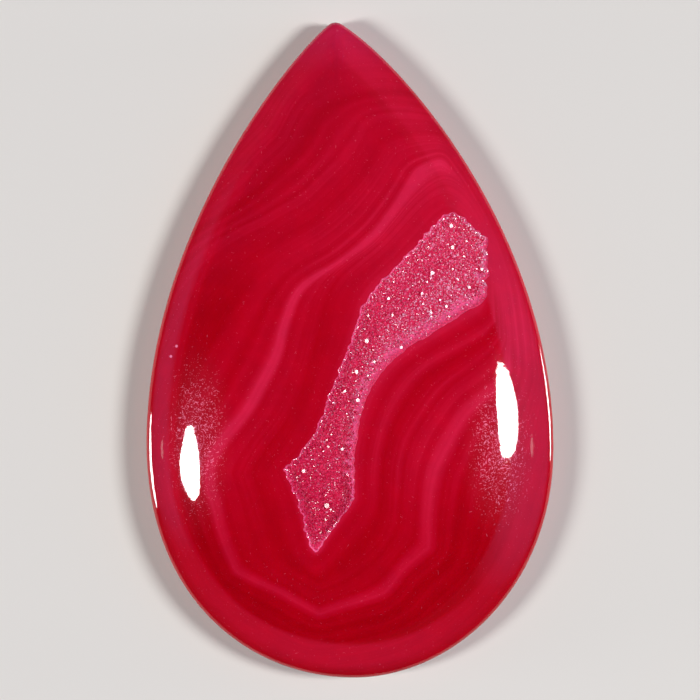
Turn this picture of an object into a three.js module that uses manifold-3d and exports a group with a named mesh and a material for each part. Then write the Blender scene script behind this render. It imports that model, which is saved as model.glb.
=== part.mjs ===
// A druzy agate cabochon: a pear-shaped slice of banded agate, ground flat on its back and polished to a
// low dome on its face. The dome opens a long bent hollow that is lined with a crust of quartz crystals.
// Millimetres. +Z is up, out of the face, and +Y runs to the tip. The origin is under the middle of the
// stone's box, on the flat back.
import * as THREE from "three";
import { mergeGeometries, mergeVertices } from "three/addons/utils/BufferGeometryUtils.js";
import Module from "manifold-3d";

const LENGTH = 51.5;
const WIDTH = 32;
const GIRDLE_HEIGHT = 2.1; // top of the upright side wall
const BACK_BEVEL = 0.35; // the chamfer that keeps the back's edge from chipping
const SHOULDER_WIDTH = 6.4; // how far in from the edge the dome's curved shoulder reaches
const EDGE_RADIUS = 0.6; // rounding between the side wall and the shoulder
const SHOULDER_ANGLE = THREE.MathUtils.degToRad(36); // the shoulder's slope where the rounding ends
const CROWN_RISE = 0.8; // the slow rise from the shoulder to the middle

const ABOVE_THE_DOME = 8; // where the cutter for the hollow ends
const HOLLOW_DEPTH = 1.8; // from the dome down to the bare floor of the hollow
const HOLLOW_WALL_RUN = 1.0; // how far in from its rim the hollow's wall reaches the floor
const CRUST_THICKNESS = 0.55;
const CRUST_GAP = 0.2; // clearance between the crust's underside and the stone
const CRUST_EDGE_INSET = 0.3; // from the hollow's rim in to the crust's own edge
const CRUST_EDGE_DROP = 0.12; // from the dome down to the crust's edge
const CRUST_EDGE_THICKNESS = 0.25;
const CRYSTAL_PITCH = 0.95;
const CRYSTAL_SHAKE = 0.25; // the most that a crystal stands off its place in the grid, in pitches
const CRYSTAL_RISE = 0.45; // how far a middling crystal stands out of the crust
const CRYSTAL_SPREAD = 0.4; // the most that one stands higher or lower than that, as a share
const CRYSTAL_SLOPE = 1.1; // a crystal's height over its radius: quartz points close at about this angle
const CRYSTAL_ROOT = 1.6; // from the crust's face down to a crystal's foot, deeper than any of the crust
const CRYSTAL_SIDES = 6;
const CRYSTAL_LEAN = 0.25; // the most that a point is pushed sideways, over its height

const SIDE_STEPS = 22; // points along each of the outline's four long curves
const TIP_STEPS = 4;
const DOME_RINGS = [0.1, 0.28, 0.45, 0.6, 0.7, 0.8, 0.9]; // shares of the way out from the middle
const ROUNDING_RINGS = [0.26, 0.09, 0.02]; // distances in from the outline, down the edge's rounding
const HOLLOW_RINGS = [0, 0.08, 0.2, 0.36, 0.6, 0.9]; // shares of the way in from the hollow's rim
const CRUST_TOP_RINGS = [0.9, 0.5, 0.25]; // the same, in from the crust's edge
const CRUST_BOTTOM_RINGS = [0.06, 0.16, 0.32, 0.6, 0.9];
const MIDDLE = new THREE.Vector2(0, -6); // the point that the dome's rings close in on

const point = (x, y) => new THREE.Vector2(x, y);

// The outline, anticlockwise from the foot. The tip leans a little to -X, as a stone cut by hand does.
const FOOT = point(0.3, -LENGTH / 2);
const RIGHT = point(WIDTH / 2, -7.7);
const LEFT = point(-WIDTH / 2, -7.3);
const TIP_RIGHT = point(-0.5, LENGTH / 2 - 0.25);
const TIP_LEFT = point(-1.75, LENGTH / 2 - 0.25);

function outlinePoints() {
  const rightFoot = new THREE.CubicBezierCurve(FOOT, point(8.1, FOOT.y), point(RIGHT.x, -18.7), RIGHT);
  const rightSide = new THREE.CubicBezierCurve(RIGHT, point(RIGHT.x, 8.6), point(4.7, 22.1), TIP_RIGHT);
  const tip = new THREE.QuadraticBezierCurve(TIP_RIGHT, point(-1.2, LENGTH / 2 + 0.25), TIP_LEFT);
  const leftSide = new THREE.CubicBezierCurve(TIP_LEFT, point(-5, 22.8), point(LEFT.x, 8.9), LEFT);
  const leftFoot = new THREE.CubicBezierCurve(LEFT, point(LEFT.x, -19.4), point(-8.1, FOOT.y), FOOT);
  return [rightFoot, rightSide, tip, leftSide, leftFoot].flatMap((curve) =>
    curve.getPoints(curve === tip ? TIP_STEPS : SIDE_STEPS).slice(0, -1),
  );
}

// The rim of the hollow, anticlockwise from its top left corner down its left side, and the line that
// runs along the middle of its floor.
const HOLLOW_CORNERS = [
  point(7.4, 10.7), point(5.7, 8.8), point(3.4, 6.4), point(1.4, 4.4), point(0.2, 1.2),
  point(-1.4, -2.8), point(-2.3, -5.6), point(-3.7, -8.0), point(-5.2, -9.3), point(-4.2, -11.4),
  point(-3.6, -13.2), point(-3.1, -15.4), point(-2.5, -15.8), point(-1.7, -14.4), point(0.3, -11.2),
  point(0.3, -8.4), point(0.9, -4.4), point(2.2, -2.0), point(4.0, -0.1), point(6.6, 1.4),
  point(9.0, 3.0), point(10.5, 3.6), point(10.8, 5.2), point(10.7, 8.6), point(8.6, 10.6),
];
const HOLLOW_FLOOR_LINE = [
  point(8.5, 7.6), point(6.2, 4.8), point(2.8, 1.4), point(0.4, -2.6), point(-1.0, -7.2),
  point(-1.9, -10.4), point(-2.5, -13.4),
];
const CORNER_SHARE = 0.3; // how much of the shorter neighbouring side a rounded corner takes
const RIM_STEP = 0.85; // between the points along the rim

function hollowRimPoints() {
  const path = new THREE.Path();
  const count = HOLLOW_CORNERS.length;
  HOLLOW_CORNERS.forEach((corner, i) => {
    const before = HOLLOW_CORNERS[(i + count - 1) % count];
    const after = HOLLOW_CORNERS[(i + 1) % count];
    const cut = CORNER_SHARE * Math.min(corner.distanceTo(before), corner.distanceTo(after));
    const start = corner.clone().add(before.clone().sub(corner).setLength(cut));
    const end = corner.clone().add(after.clone().sub(corner).setLength(cut));
    if (i === 0) {
      path.moveTo(start.x, start.y);
    } else {
      path.lineTo(start.x, start.y);
    }
    path.quadraticCurveTo(corner.x, corner.y, end.x, end.y);
  });
  path.closePath();
  return path.getSpacedPoints(Math.round(path.getLength() / RIM_STEP)).slice(0, -1);
}

const outline = outlinePoints();
const rim = hollowRimPoints();

// Each side of the outline as its outward normal and its distance from the origin along that normal.
const outlineSides = outline.map((a, i) => {
  const b = outline[(i + 1) % outline.length];
  const normal = point(b.y - a.y, a.x - b.x).normalize();
  return { normal, reach: normal.dot(a) };
});

// How far inside the outline a point lies. The outline is convex, so its nearest side decides.
const insetOf = (p) => Math.min(...outlineSides.map((side) => side.reach - side.normal.dot(p)));

// 0 at MIDDLE and 1 on the outline, along any ray from MIDDLE.
const shareOut = (p) => {
  const shares = outlineSides.map(
    ({ normal, reach }) => (normal.dot(p) - normal.dot(MIDDLE)) / (reach - normal.dot(MIDDLE)),
  );
  return Math.max(0, ...shares);
};

// The dome's height over the girdle at a distance in from the outline: a tight rounding, then one long arc
// that runs out level at SHOULDER_WIDTH.
function shoulderRise(inset) {
  const roundingWidth = EDGE_RADIUS * (1 - Math.sin(SHOULDER_ANGLE));
  const roundingRise = EDGE_RADIUS * Math.cos(SHOULDER_ANGLE);
  const d = THREE.MathUtils.clamp(inset, 0, SHOULDER_WIDTH);
  if (d < roundingWidth) {
    return Math.sqrt(EDGE_RADIUS ** 2 - (EDGE_RADIUS - d) ** 2);
  }
  const radius = (SHOULDER_WIDTH - roundingWidth) / Math.sin(SHOULDER_ANGLE);
  const slope = Math.asin((SHOULDER_WIDTH - d) / radius);
  return roundingRise + radius * (Math.cos(slope) - Math.cos(SHOULDER_ANGLE));
}

const domeHeight = (p) =>
  GIRDLE_HEIGHT + shoulderRise(insetOf(p)) + CROWN_RISE * (1 - shareOut(p) ** 2);

// The nearest point to p on the line through the given points.
function nearestOn(line, p, closed) {
  const sides = line.map((a, i) => [a, line[(i + 1) % line.length]]).slice(0, closed ? line.length : -1);
  const found = sides.map(([a, b]) => {
    const along = b.clone().sub(a);
    const share = THREE.MathUtils.clamp(p.clone().sub(a).dot(along) / along.lengthSq(), 0, 1);
    return a.clone().addScaledVector(along, share);
  });
  return found.reduce((best, q) => (q.distanceTo(p) < best.distanceTo(p) ? q : best));
}

// 0 at the hollow's rim and 1 on its floor, for a point that far in from the rim.
const bowl = (inset, run) => 1 - (1 - THREE.MathUtils.clamp(inset / run, 0, 1)) ** 2;
const rimInset = (p) => nearestOn(rim, p, true).distanceTo(p);

const cavityHeight = (p) => domeHeight(p) - HOLLOW_DEPTH * bowl(rimInset(p), HOLLOW_WALL_RUN);

function crustFace(p) {
  const floorDrop = HOLLOW_DEPTH - CRUST_GAP - CRUST_THICKNESS;
  const run = HOLLOW_WALL_RUN + CRUST_THICKNESS;
  const drop = (floorDrop - CRUST_EDGE_DROP) * bowl(rimInset(p) - CRUST_EDGE_INSET, run);
  return domeHeight(p) - CRUST_EDGE_DROP - drop;
}

function crustUnderside(p) {
  const drop = HOLLOW_DEPTH * bowl(rimInset(p) - CRUST_GAP, HOLLOW_WALL_RUN) - CRUST_GAP;
  return Math.min(domeHeight(p) - drop, crustFace(p) - CRUST_EDGE_THICKNESS);
}

// A ring of points at the height that a function gives each of them.
const raised = (ring, height) => ring.map((p) => new THREE.Vector3(p.x, p.y, height(p)));

// A closed skin through rings of points, listed from the top down, each anticlockwise from above. The first
// and last rings get a lid.
function skin(rings) {
  const columns = rings[0].length;
  const wall = new THREE.PlaneGeometry(1, 1, columns, rings.length - 1);
  rings.forEach((ring, row) => {
    for (let i = 0; i <= columns; i++) {
      const p = ring[i % columns];
      wall.attributes.position.setXYZ(row * (columns + 1) + i, p.x, p.y, p.z);
    }
  });
  const top = lid(rings[0]);
  const bottom = lid(rings.at(-1));
  bottom.index.array.reverse(); // so that it faces down
  const pieces = [wall, top, bottom];
  for (const piece of pieces) {
    piece.deleteAttribute("normal");
    piece.deleteAttribute("uv");
  }
  return mergeVertices(mergeGeometries(pieces), 1e-4);
}

// A ring filled with triangles that face up. A shape lists an anticlockwise ring backwards.
function lid(ring) {
  const face = new THREE.ShapeGeometry(new THREE.Shape(ring.map((p) => point(p.x, p.y))));
  ring.toReversed().forEach((p, i) => face.attributes.position.setXYZ(i, p.x, p.y, p.z));
  return face;
}

// The hollow's rim drawn in towards the line along its floor, by a share of the way.
const rimFloor = rim.map((p) => nearestOn(HOLLOW_FLOOR_LINE, p, false));
const rimDrawnIn = (share) => rim.map((p, i) => p.clone().lerp(rimFloor[i], share));
const rimSetIn = (distance) =>
  rim.map((p, i) => p.clone().add(rimFloor[i].clone().sub(p).setLength(distance)));

// The outline set in square to its sides.
function outlineSetIn(distance) {
  const count = outline.length;
  return outline.map((p, i) => {
    const normal = outlineSides[i].normal.clone().add(outlineSides[(i + count - 1) % count].normal);
    return p.clone().addScaledVector(normal.normalize(), -distance);
  });
}

const wasm = await Module();
wasm.setup();

function solid(geometry) {
  const vertProperties = geometry.attributes.position.array;
  const triVerts = new Uint32Array(geometry.index.array);
  return new wasm.Manifold(new wasm.Mesh({ numProp: 3, vertProperties, triVerts }));
}

function geometryOf(made) {
  const { vertProperties, triVerts } = made.getMesh();
  const geometry = new THREE.BufferGeometry();
  geometry.setAttribute("position", new THREE.BufferAttribute(vertProperties, 3));
  geometry.setIndex(new THREE.BufferAttribute(triVerts, 1));
  geometry.computeVertexNormals();
  return geometry;
}

// The polished stone, less its hollow.
function agate() {
  const edge = outlineSetIn(ROUNDING_RINGS[0]);
  const body = skin([
    ...DOME_RINGS.map((share) => raised(edge.map((p) => MIDDLE.clone().lerp(p, share)), domeHeight)),
    ...ROUNDING_RINGS.map((inset) => raised(outlineSetIn(inset), domeHeight)),
    raised(outline, () => GIRDLE_HEIGHT),
    raised(outline, () => BACK_BEVEL),
    raised(outlineSetIn(BACK_BEVEL), () => 0),
  ]);
  const hollow = skin([
    raised(rim, () => ABOVE_THE_DOME),
    ...HOLLOW_RINGS.map((share) => raised(rimDrawnIn(share), cavityHeight)),
  ]);
  return geometryOf(solid(body).subtract(solid(hollow)));
}

// A repeatable random number from 0 to 1, by a small multiply-and-add generator.
function randomFrom(seed) {
  let state = seed;
  return () => {
    state = (Math.imul(state, 1664525) + 1013904223) >>> 0;
    return state / 2 ** 32;
  };
}

// One quartz crystal: a six-sided pyramid that leans a little. It goes on widening down to its foot, well
// under the crust, so that its faces end where they meet its neighbours'.
function crystal(place, random) {
  const upTo = (most) => (2 * random() - 1) * most;
  const height = CRYSTAL_RISE * (1 + upTo(CRYSTAL_SPREAD)) + CRYSTAL_ROOT;
  const shape = new THREE.ConeGeometry(height / CRYSTAL_SLOPE, height, CRYSTAL_SIDES)
    .translate(0, height / 2, 0)
    .rotateX(Math.PI / 2)
    .rotateZ(random() * Math.PI)
    .applyMatrix4(new THREE.Matrix4().makeShear(0, 0, 0, 0, upTo(CRYSTAL_LEAN), upTo(CRYSTAL_LEAN)))
    .translate(place.x, place.y, crustFace(place) - CRYSTAL_ROOT);
  shape.deleteAttribute("normal");
  shape.deleteAttribute("uv");
  return solid(mergeVertices(shape, 1e-4));
}

// Whether a ray from p crosses the rim an odd number of times.
const isInHollow = (p) =>
  rim.filter((a, i) => {
    const b = rim[(i + 1) % rim.length];
    return a.y > p.y !== b.y > p.y && p.x < a.x + ((b.x - a.x) * (p.y - a.y)) / (b.y - a.y);
  }).length % 2 === 1;

// Places for the crystals: a shaken triangular grid over the hollow.
function crystalPlaces(random) {
  const box = new THREE.Box2().setFromPoints(rim);
  const rowStep = CRYSTAL_PITCH * Math.sin(Math.PI / 3);
  const shake = () => (2 * random() - 1) * CRYSTAL_PITCH * CRYSTAL_SHAKE;
  const places = [];
  for (let y = box.min.y, row = 0; y < box.max.y; y += rowStep, row++) {
    for (let x = box.min.x + (row % 2) * (CRYSTAL_PITCH / 2); x < box.max.x; x += CRYSTAL_PITCH) {
      const p = point(x + shake(), y + shake());
      if (isInHollow(p) && rimInset(p) > CRUST_EDGE_INSET) {
        places.push(p);
      }
    }
  }
  return places;
}

// The crust: a lining with crystals grown from it, all cut off where the dome was polished.
function crust() {
  const random = randomFrom(7);
  const edge = rimSetIn(CRUST_EDGE_INSET);
  const inner = (share) => edge.map((p, i) => p.clone().lerp(rimFloor[i], share));
  const topRings = [...CRUST_TOP_RINGS.map(inner), edge];
  const underside = [edge, ...CRUST_BOTTOM_RINGS.map(inner)].map((ring) => raised(ring, crustUnderside));
  const polishedOff = (p) => domeHeight(p) - CRUST_EDGE_DROP / 2;
  const lining = skin([...topRings.map((ring) => raised(ring, crustFace)), ...underside]);
  const space = skin([...topRings.map((ring) => raised(ring, polishedOff)), ...underside]);
  const crystals = crystalPlaces(random).map((place) => crystal(place, random));
  return geometryOf(wasm.Manifold.union([solid(lining), ...crystals]).intersect(solid(space)));
}

function piece(name, geometry, colour, roughness) {
  const material = new THREE.MeshStandardMaterial({ color: colour, roughness, metalness: 0 });
  const mesh = new THREE.Mesh(geometry, material);
  mesh.name = name;
  return mesh;
}

const cabochon = new THREE.Group();
cabochon.add(piece("agate_stone", agate(), "#b80f2a", 0.06));
cabochon.add(piece("druzy_crust", crust(), "#d8457f", 0.2));

export default cabochon;
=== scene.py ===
# A druzy agate cabochon lying face up on a pale table, lit by two oval studio lamps and seen from above.
# Sizes are worked out in millimetres, because a stone is cut in them, and turned to metres in the meshes.
import math
import random

import bmesh
import bpy
import numpy as np
from mathutils import Euler, Matrix, Vector


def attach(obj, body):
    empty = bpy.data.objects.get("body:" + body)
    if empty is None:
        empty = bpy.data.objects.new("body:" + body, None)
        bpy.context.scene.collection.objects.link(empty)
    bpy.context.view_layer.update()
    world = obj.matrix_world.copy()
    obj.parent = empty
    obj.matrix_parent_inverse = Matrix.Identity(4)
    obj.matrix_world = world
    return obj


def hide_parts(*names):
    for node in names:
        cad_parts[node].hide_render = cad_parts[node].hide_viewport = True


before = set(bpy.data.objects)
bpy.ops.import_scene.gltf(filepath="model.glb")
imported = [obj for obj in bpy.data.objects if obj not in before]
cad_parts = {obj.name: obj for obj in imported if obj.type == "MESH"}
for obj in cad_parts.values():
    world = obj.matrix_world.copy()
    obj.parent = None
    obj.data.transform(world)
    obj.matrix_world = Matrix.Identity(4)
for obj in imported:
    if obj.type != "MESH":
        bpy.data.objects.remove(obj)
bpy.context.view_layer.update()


# The agate
# One piece of dyed chalcedony: a pear-shaped slice, sawn flat behind with a small bevel round the back,
# ground to a low dome in front and polished on felt. The saw and the wheel have opened the hollow in it.

MM = 0.001  # in metres
LENGTH = 51.5
WIDTH = 32.0
TIP_DROP = 0.25  # from the tip's top down to where its rounding ends
COLUMNS = 460  # points round the outline


def bezier(*handles, count=400):
    """Points along a Bezier curve, from its end points and handles."""
    t = np.linspace(0, 1, count)[:, None]
    last = len(handles) - 1
    return sum(
        math.comb(last, k) * t**k * (1 - t) ** (last - k) * np.array(handle)
        for k, handle in enumerate(handles)
    )


def evenly(line, count):
    """A closed line's points again, the same distance apart."""
    closed = np.vstack([line, line[:1]])
    run = np.concatenate([[0], np.cumsum(np.linalg.norm(np.diff(closed, axis=0), axis=1))])
    places = np.linspace(0, run[-1], count, endpoint=False)
    return np.column_stack([np.interp(places, run, closed[:, axis]) for axis in (0, 1)])


# The outline has a round foot, long sides that straighten upwards, and a tip that leans a little to the
# left, because it was ground by hand against a template. Four Bezier curves make the sides and one the tip.
foot = (0.3, -LENGTH / 2)
right = (WIDTH / 2, -7.7)
left = (-WIDTH / 2, -7.3)
tip_right = (-0.5, LENGTH / 2 - TIP_DROP)
tip_left = (-1.75, LENGTH / 2 - TIP_DROP)
outline = np.vstack([
    bezier(foot, (8.1, foot[1]), (right[0], -18.7), right)[:-1],
    bezier(right, (right[0], 8.6), (4.7, 22.1), tip_right)[:-1],
    bezier(tip_right, (-1.2, LENGTH / 2 + TIP_DROP), tip_left)[:-1],
    bezier(tip_left, (-5, 22.8), (left[0], 8.9), left)[:-1],
    bezier(left, (left[0], -19.4), (-8.1, foot[1]), foot)[:-1],
])
outline = evenly(outline, COLUMNS)

# Over the outline stand an upright side, a tight rounding, one long shoulder arc, and a crown that goes on
# rising slowly to the middle. Where the two shoulders meet they leave a ridge that runs up to the tip,
# softened by the polishing.
GIRDLE_HEIGHT = 2.1  # the top of the upright side
EDGE_RADIUS = 0.6
SHOULDER_WIDTH = 6.4
SHOULDER_ANGLE = math.radians(36)
CROWN_RISE = 0.793
MIDDLE = np.array([0.0, -6.0])
RIDGE_SOFTNESS = 0.8  # how far round each point the polish has evened the shoulder out
RIDGE_SAMPLES = 6

edge_along = np.roll(outline, -1, axis=0) - outline
side_normals = np.column_stack([edge_along[:, 1], -edge_along[:, 0]])
side_normals /= np.linalg.norm(side_normals, axis=1)[:, None]
side_reach = (side_normals * outline).sum(axis=1)


def shoulder_rise(inset):
    """The height over the girdle, at a distance in from the outline."""
    d = np.clip(inset, 0, SHOULDER_WIDTH)
    rounding = np.sqrt(np.maximum(EDGE_RADIUS**2 - (EDGE_RADIUS - np.minimum(d, EDGE_RADIUS)) ** 2, 0))
    rounding_width = EDGE_RADIUS * (1 - math.sin(SHOULDER_ANGLE))
    radius = (SHOULDER_WIDTH - rounding_width) / math.sin(SHOULDER_ANGLE)
    level = np.sqrt(radius**2 - (SHOULDER_WIDTH - d) ** 2)
    arc = EDGE_RADIUS * math.cos(SHOULDER_ANGLE) + level - radius * math.cos(SHOULDER_ANGLE)
    return np.where(d < rounding_width, rounding, arc)


def dome_height(points):
    """The dome's height over the back at each (x, y)."""
    reach = points @ side_normals.T
    inset = (side_reach - reach).min(axis=1)
    share = ((reach - side_normals @ MIDDLE) / (side_reach - side_normals @ MIDDLE)).max(axis=1)
    spread = np.clip(inset / 2, 0, RIDGE_SOFTNESS)
    rise = 0
    for angle in np.linspace(0, 2 * math.pi, RIDGE_SAMPLES, endpoint=False):
        moved = points + spread[:, None] * [math.cos(angle), math.sin(angle)]
        rise = rise + shoulder_rise((side_reach - moved @ side_normals.T).min(axis=1)) / RIDGE_SAMPLES
    return GIRDLE_HEIGHT + rise + CROWN_RISE * (1 - np.clip(share, 0, 1) ** 2)


# The hollow is a vug, the last space in the middle of the agate, long and bent. Its walls fall steeply
# under the face. It is kept as its rim and the line along the middle of its floor.
HOLLOW_DEPTH = 1.8
HOLLOW_WALL_RUN = 1.0  # how far in from the rim the wall reaches the floor
RIM_CUT = 0.03  # the saw's clean edge, before the wall turns inwards
RIM_COLUMNS = 420  # points round the rim
RIM_RAGGED = 0.055  # how far the broken rim strays
RIM_RAGGED_AT_END = 0.09  # and beyond HOLLOW_END, where it is most broken
HOLLOW_END = 10.2
FLANK_SMOOTHED = 0.6  # the share of it that the wheel took off along the flank
ABOVE_THE_DOME = 8.0  # where the cutter for the hollow ends

to_flank = np.array([0.6, -0.8])  # from the hollow towards its lower right flank, cut at a low angle
rim_corners = np.array([
    (7.4, 10.7), (5.7, 8.8), (3.4, 6.4), (1.4, 4.4), (0.2, 1.2), (-1.4, -2.8), (-2.3, -5.6),
    (-3.7, -8.0), (-5.2, -9.3), (-5.2, -9.3), (-4.2, -11.4), (-3.6, -13.2), (-3.1, -15.4), (-2.5, -15.8),
    (-1.7, -14.4), (0.4, -11.5), (0.4, -11.5), (0.3, -8.4), (0.9, -4.4), (2.2, -2.0), (4.0, -0.1),
    (6.6, 1.4), (9.0, 3.0), (10.5, 3.6), (10.8, 5.2), (10.7, 8.6), (10.7, 8.6), (8.6, 10.6),
])
floor_line = np.array([
    (8.5, 7.6), (6.2, 4.8), (2.8, 1.4), (0.4, -2.6), (-1.0, -7.2), (-1.9, -10.4), (-2.5, -13.4),
])


def rounded(corners, rounds=2):
    """A closed line with its corners cut again and again. A corner that is listed twice stays sharp."""
    line = np.array(corners, float)
    for _ in range(rounds):
        after = np.roll(line, -1, axis=0)
        line = np.stack([0.75 * line + 0.25 * after, 0.25 * line + 0.75 * after], axis=1).reshape(-1, 2)
    return line


def nearest(points, line, closed=True):
    """For each point, the nearest place on a line."""
    best = np.full(len(points), np.inf)
    found = np.zeros_like(points)
    ends = np.roll(line, -1, axis=0)
    for a, b in list(zip(line, ends))[: len(line) if closed else -1]:
        along = b - a
        if not along.any():
            continue
        share = np.clip((points - a) @ along / (along @ along), 0, 1)
        place = a + share[:, None] * along
        distance = np.linalg.norm(points - place, axis=1)
        closer = distance < best
        best[closer] = distance[closer]
        found[closer] = place[closer]
    return found


def is_inside(points, line):
    """Whether a ray from each point crosses a closed line an odd number of times."""
    inside = np.zeros(len(points), bool)
    for (ax, ay), (bx, by) in zip(line, np.roll(line, -1, axis=0)):
        if ay != by:
            crosses = (ay > points[:, 1]) != (by > points[:, 1])
            inside ^= crosses & (points[:, 0] < ax + (points[:, 1] - ay) * (bx - ax) / (by - ay))
    return inside


rim = evenly(rounded(rim_corners), RIM_COLUMNS)
rim_along = np.roll(rim, -1, axis=0) - np.roll(rim, 1, axis=0)
rim_normals = np.column_stack([rim_along[:, 1], -rim_along[:, 0]])
rim_normals /= np.linalg.norm(rim_normals, axis=1)[:, None]
ragged = np.random.default_rng(5).normal(size=RIM_COLUMNS)
ragged = ragged + 0.6 * np.roll(ragged, 1) + 0.6 * np.roll(ragged, -1)
broken = np.where(rim[:, 0] > HOLLOW_END, RIM_RAGGED_AT_END, RIM_RAGGED)
broken = broken * (1 - FLANK_SMOOTHED * np.clip(rim_normals @ to_flank, 0, 1))
rim = rim + rim_normals * (ragged * broken)[:, None]
rim_floor = nearest(rim, floor_line, closed=False)


def rim_drawn_in(share):
    """The rim moved a share of the way to the line along the floor."""
    return rim + (rim_floor - rim) * share


def bowl(inset, run):
    """0 at the rim and 1 on the floor, at a distance in from the rim."""
    return 1 - (1 - np.clip(inset / run, 0, 1)) ** 2


def skin(name, rings):
    """A closed mesh through rings of (x, y, z) points in millimetres, from the top ring to the bottom."""
    bm = bmesh.new()
    count = len(rings[0])
    bmesh.ops.create_circle(bm, segments=count, radius=1)
    edges = bm.edges[:]
    top_lid = bmesh.ops.contextual_create(bm, geom=edges)["faces"]
    for _ in rings[1:]:
        made = bmesh.ops.extrude_edge_only(bm, edges=edges)["geom"]
        verts = [part for part in made if isinstance(part, bmesh.types.BMVert)]
        bmesh.ops.translate(bm, verts=verts, vec=(0, 0, -1))
        level = verts[0].co.z
        edges = [
            part for part in made
            if isinstance(part, bmesh.types.BMEdge) and all(abs(v.co.z - level) < 0.5 for v in part.verts)
        ]
    bottom_lid = bmesh.ops.contextual_create(bm, geom=edges)["faces"]
    places = np.stack(rings) * MM
    for vert in bm.verts:
        column = round(math.atan2(vert.co.y, vert.co.x) / (2 * math.pi) * count) % count
        vert.co = Vector(places[round(-vert.co.z), column])
    bmesh.ops.triangulate(bm, faces=top_lid + bottom_lid)
    bmesh.ops.recalc_face_normals(bm, faces=bm.faces)
    mesh = bpy.data.meshes.new(name)
    bm.to_mesh(mesh)
    bm.free()
    piece = bpy.data.objects.new(name, mesh)
    bpy.context.scene.collection.objects.link(piece)
    return piece


def raised(ring, height):
    """A ring of (x, y) points at a height, or at the heights that a function gives."""
    heights = height(ring) if callable(height) else np.full(len(ring), height)
    return np.column_stack([ring, heights])


def cavity_height(points):
    inset = np.linalg.norm(points - nearest(points, rim), axis=1)
    return dome_height(points) - RIM_CUT - (HOLLOW_DEPTH - RIM_CUT) * bowl(inset, HOLLOW_WALL_RUN)


cavity_shares = (0, 0.03, 0.07, 0.12, 0.18, 0.25, 0.33, 0.45, 0.65, 0.9)
hollow = skin("hollow", [raised(rim, ABOVE_THE_DOME)] + [
    raised(rim_drawn_in(share), cavity_height) for share in cavity_shares
])

BACK_BEVEL = 0.35
DOME_RINGS = 88
SIDE_RINGS = 6
BACK_RINGS = 40
INNERMOST = 0.03  # the smallest ring's share of the way out
SHARP_EDGE = math.radians(40)


def outline_set_in(distance):
    """The outline moved inwards, square to its sides."""
    corner_normals = side_normals + np.roll(side_normals, 1, axis=0)
    corner_normals /= np.linalg.norm(corner_normals, axis=1)[:, None]
    return outline - corner_normals * distance


rounding_insets = (0.006, 0.02, 0.05, 0.09, 0.14, 0.2, 0.27)
last_dome_ring = outline_set_in(rounding_insets[-1])
dome_rings = [
    raised(MIDDLE + (last_dome_ring - MIDDLE) * share, dome_height)
    for share in np.linspace(INNERMOST, 1, DOME_RINGS)
]
rounding_rings = [raised(outline_set_in(d), dome_height) for d in reversed(rounding_insets[:-1])]
side_rings = [raised(outline, z) for z in np.linspace(GIRDLE_HEIGHT, BACK_BEVEL, SIDE_RINGS)]
back_ring = outline_set_in(BACK_BEVEL)
back_rings = [
    raised(MIDDLE + (back_ring - MIDDLE) * share, 0.0) for share in np.linspace(1, INNERMOST, BACK_RINGS)
]
agate = skin("banded_agate", dome_rings + rounding_rings + side_rings + back_rings)

cut = agate.modifiers.new("hollow", "BOOLEAN")
cut.operation = "DIFFERENCE"
cut.solver = "EXACT"
cut.object = hollow
bpy.context.view_layer.update()
cut_mesh = bpy.data.meshes.new_from_object(agate.evaluated_get(bpy.context.evaluated_depsgraph_get()))
agate.modifiers.clear()
agate.data = cut_mesh
bpy.data.objects.remove(hollow)
cut_mesh.shade_smooth()
cut_mesh.set_sharp_from_angle(angle=SHARP_EDGE)

# Agate grows inwards from the wall of a cavity, one thin layer on another, so every band repeats the shape
# of the one before. Each line here is one layer that the eye can follow round the stone: its growth is its
# distance out from the hollow, in millimetres, and the layers between two lines take their shape from both.
# A corner that is listed twice is one of the sharp turns of a fortification agate.

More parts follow.
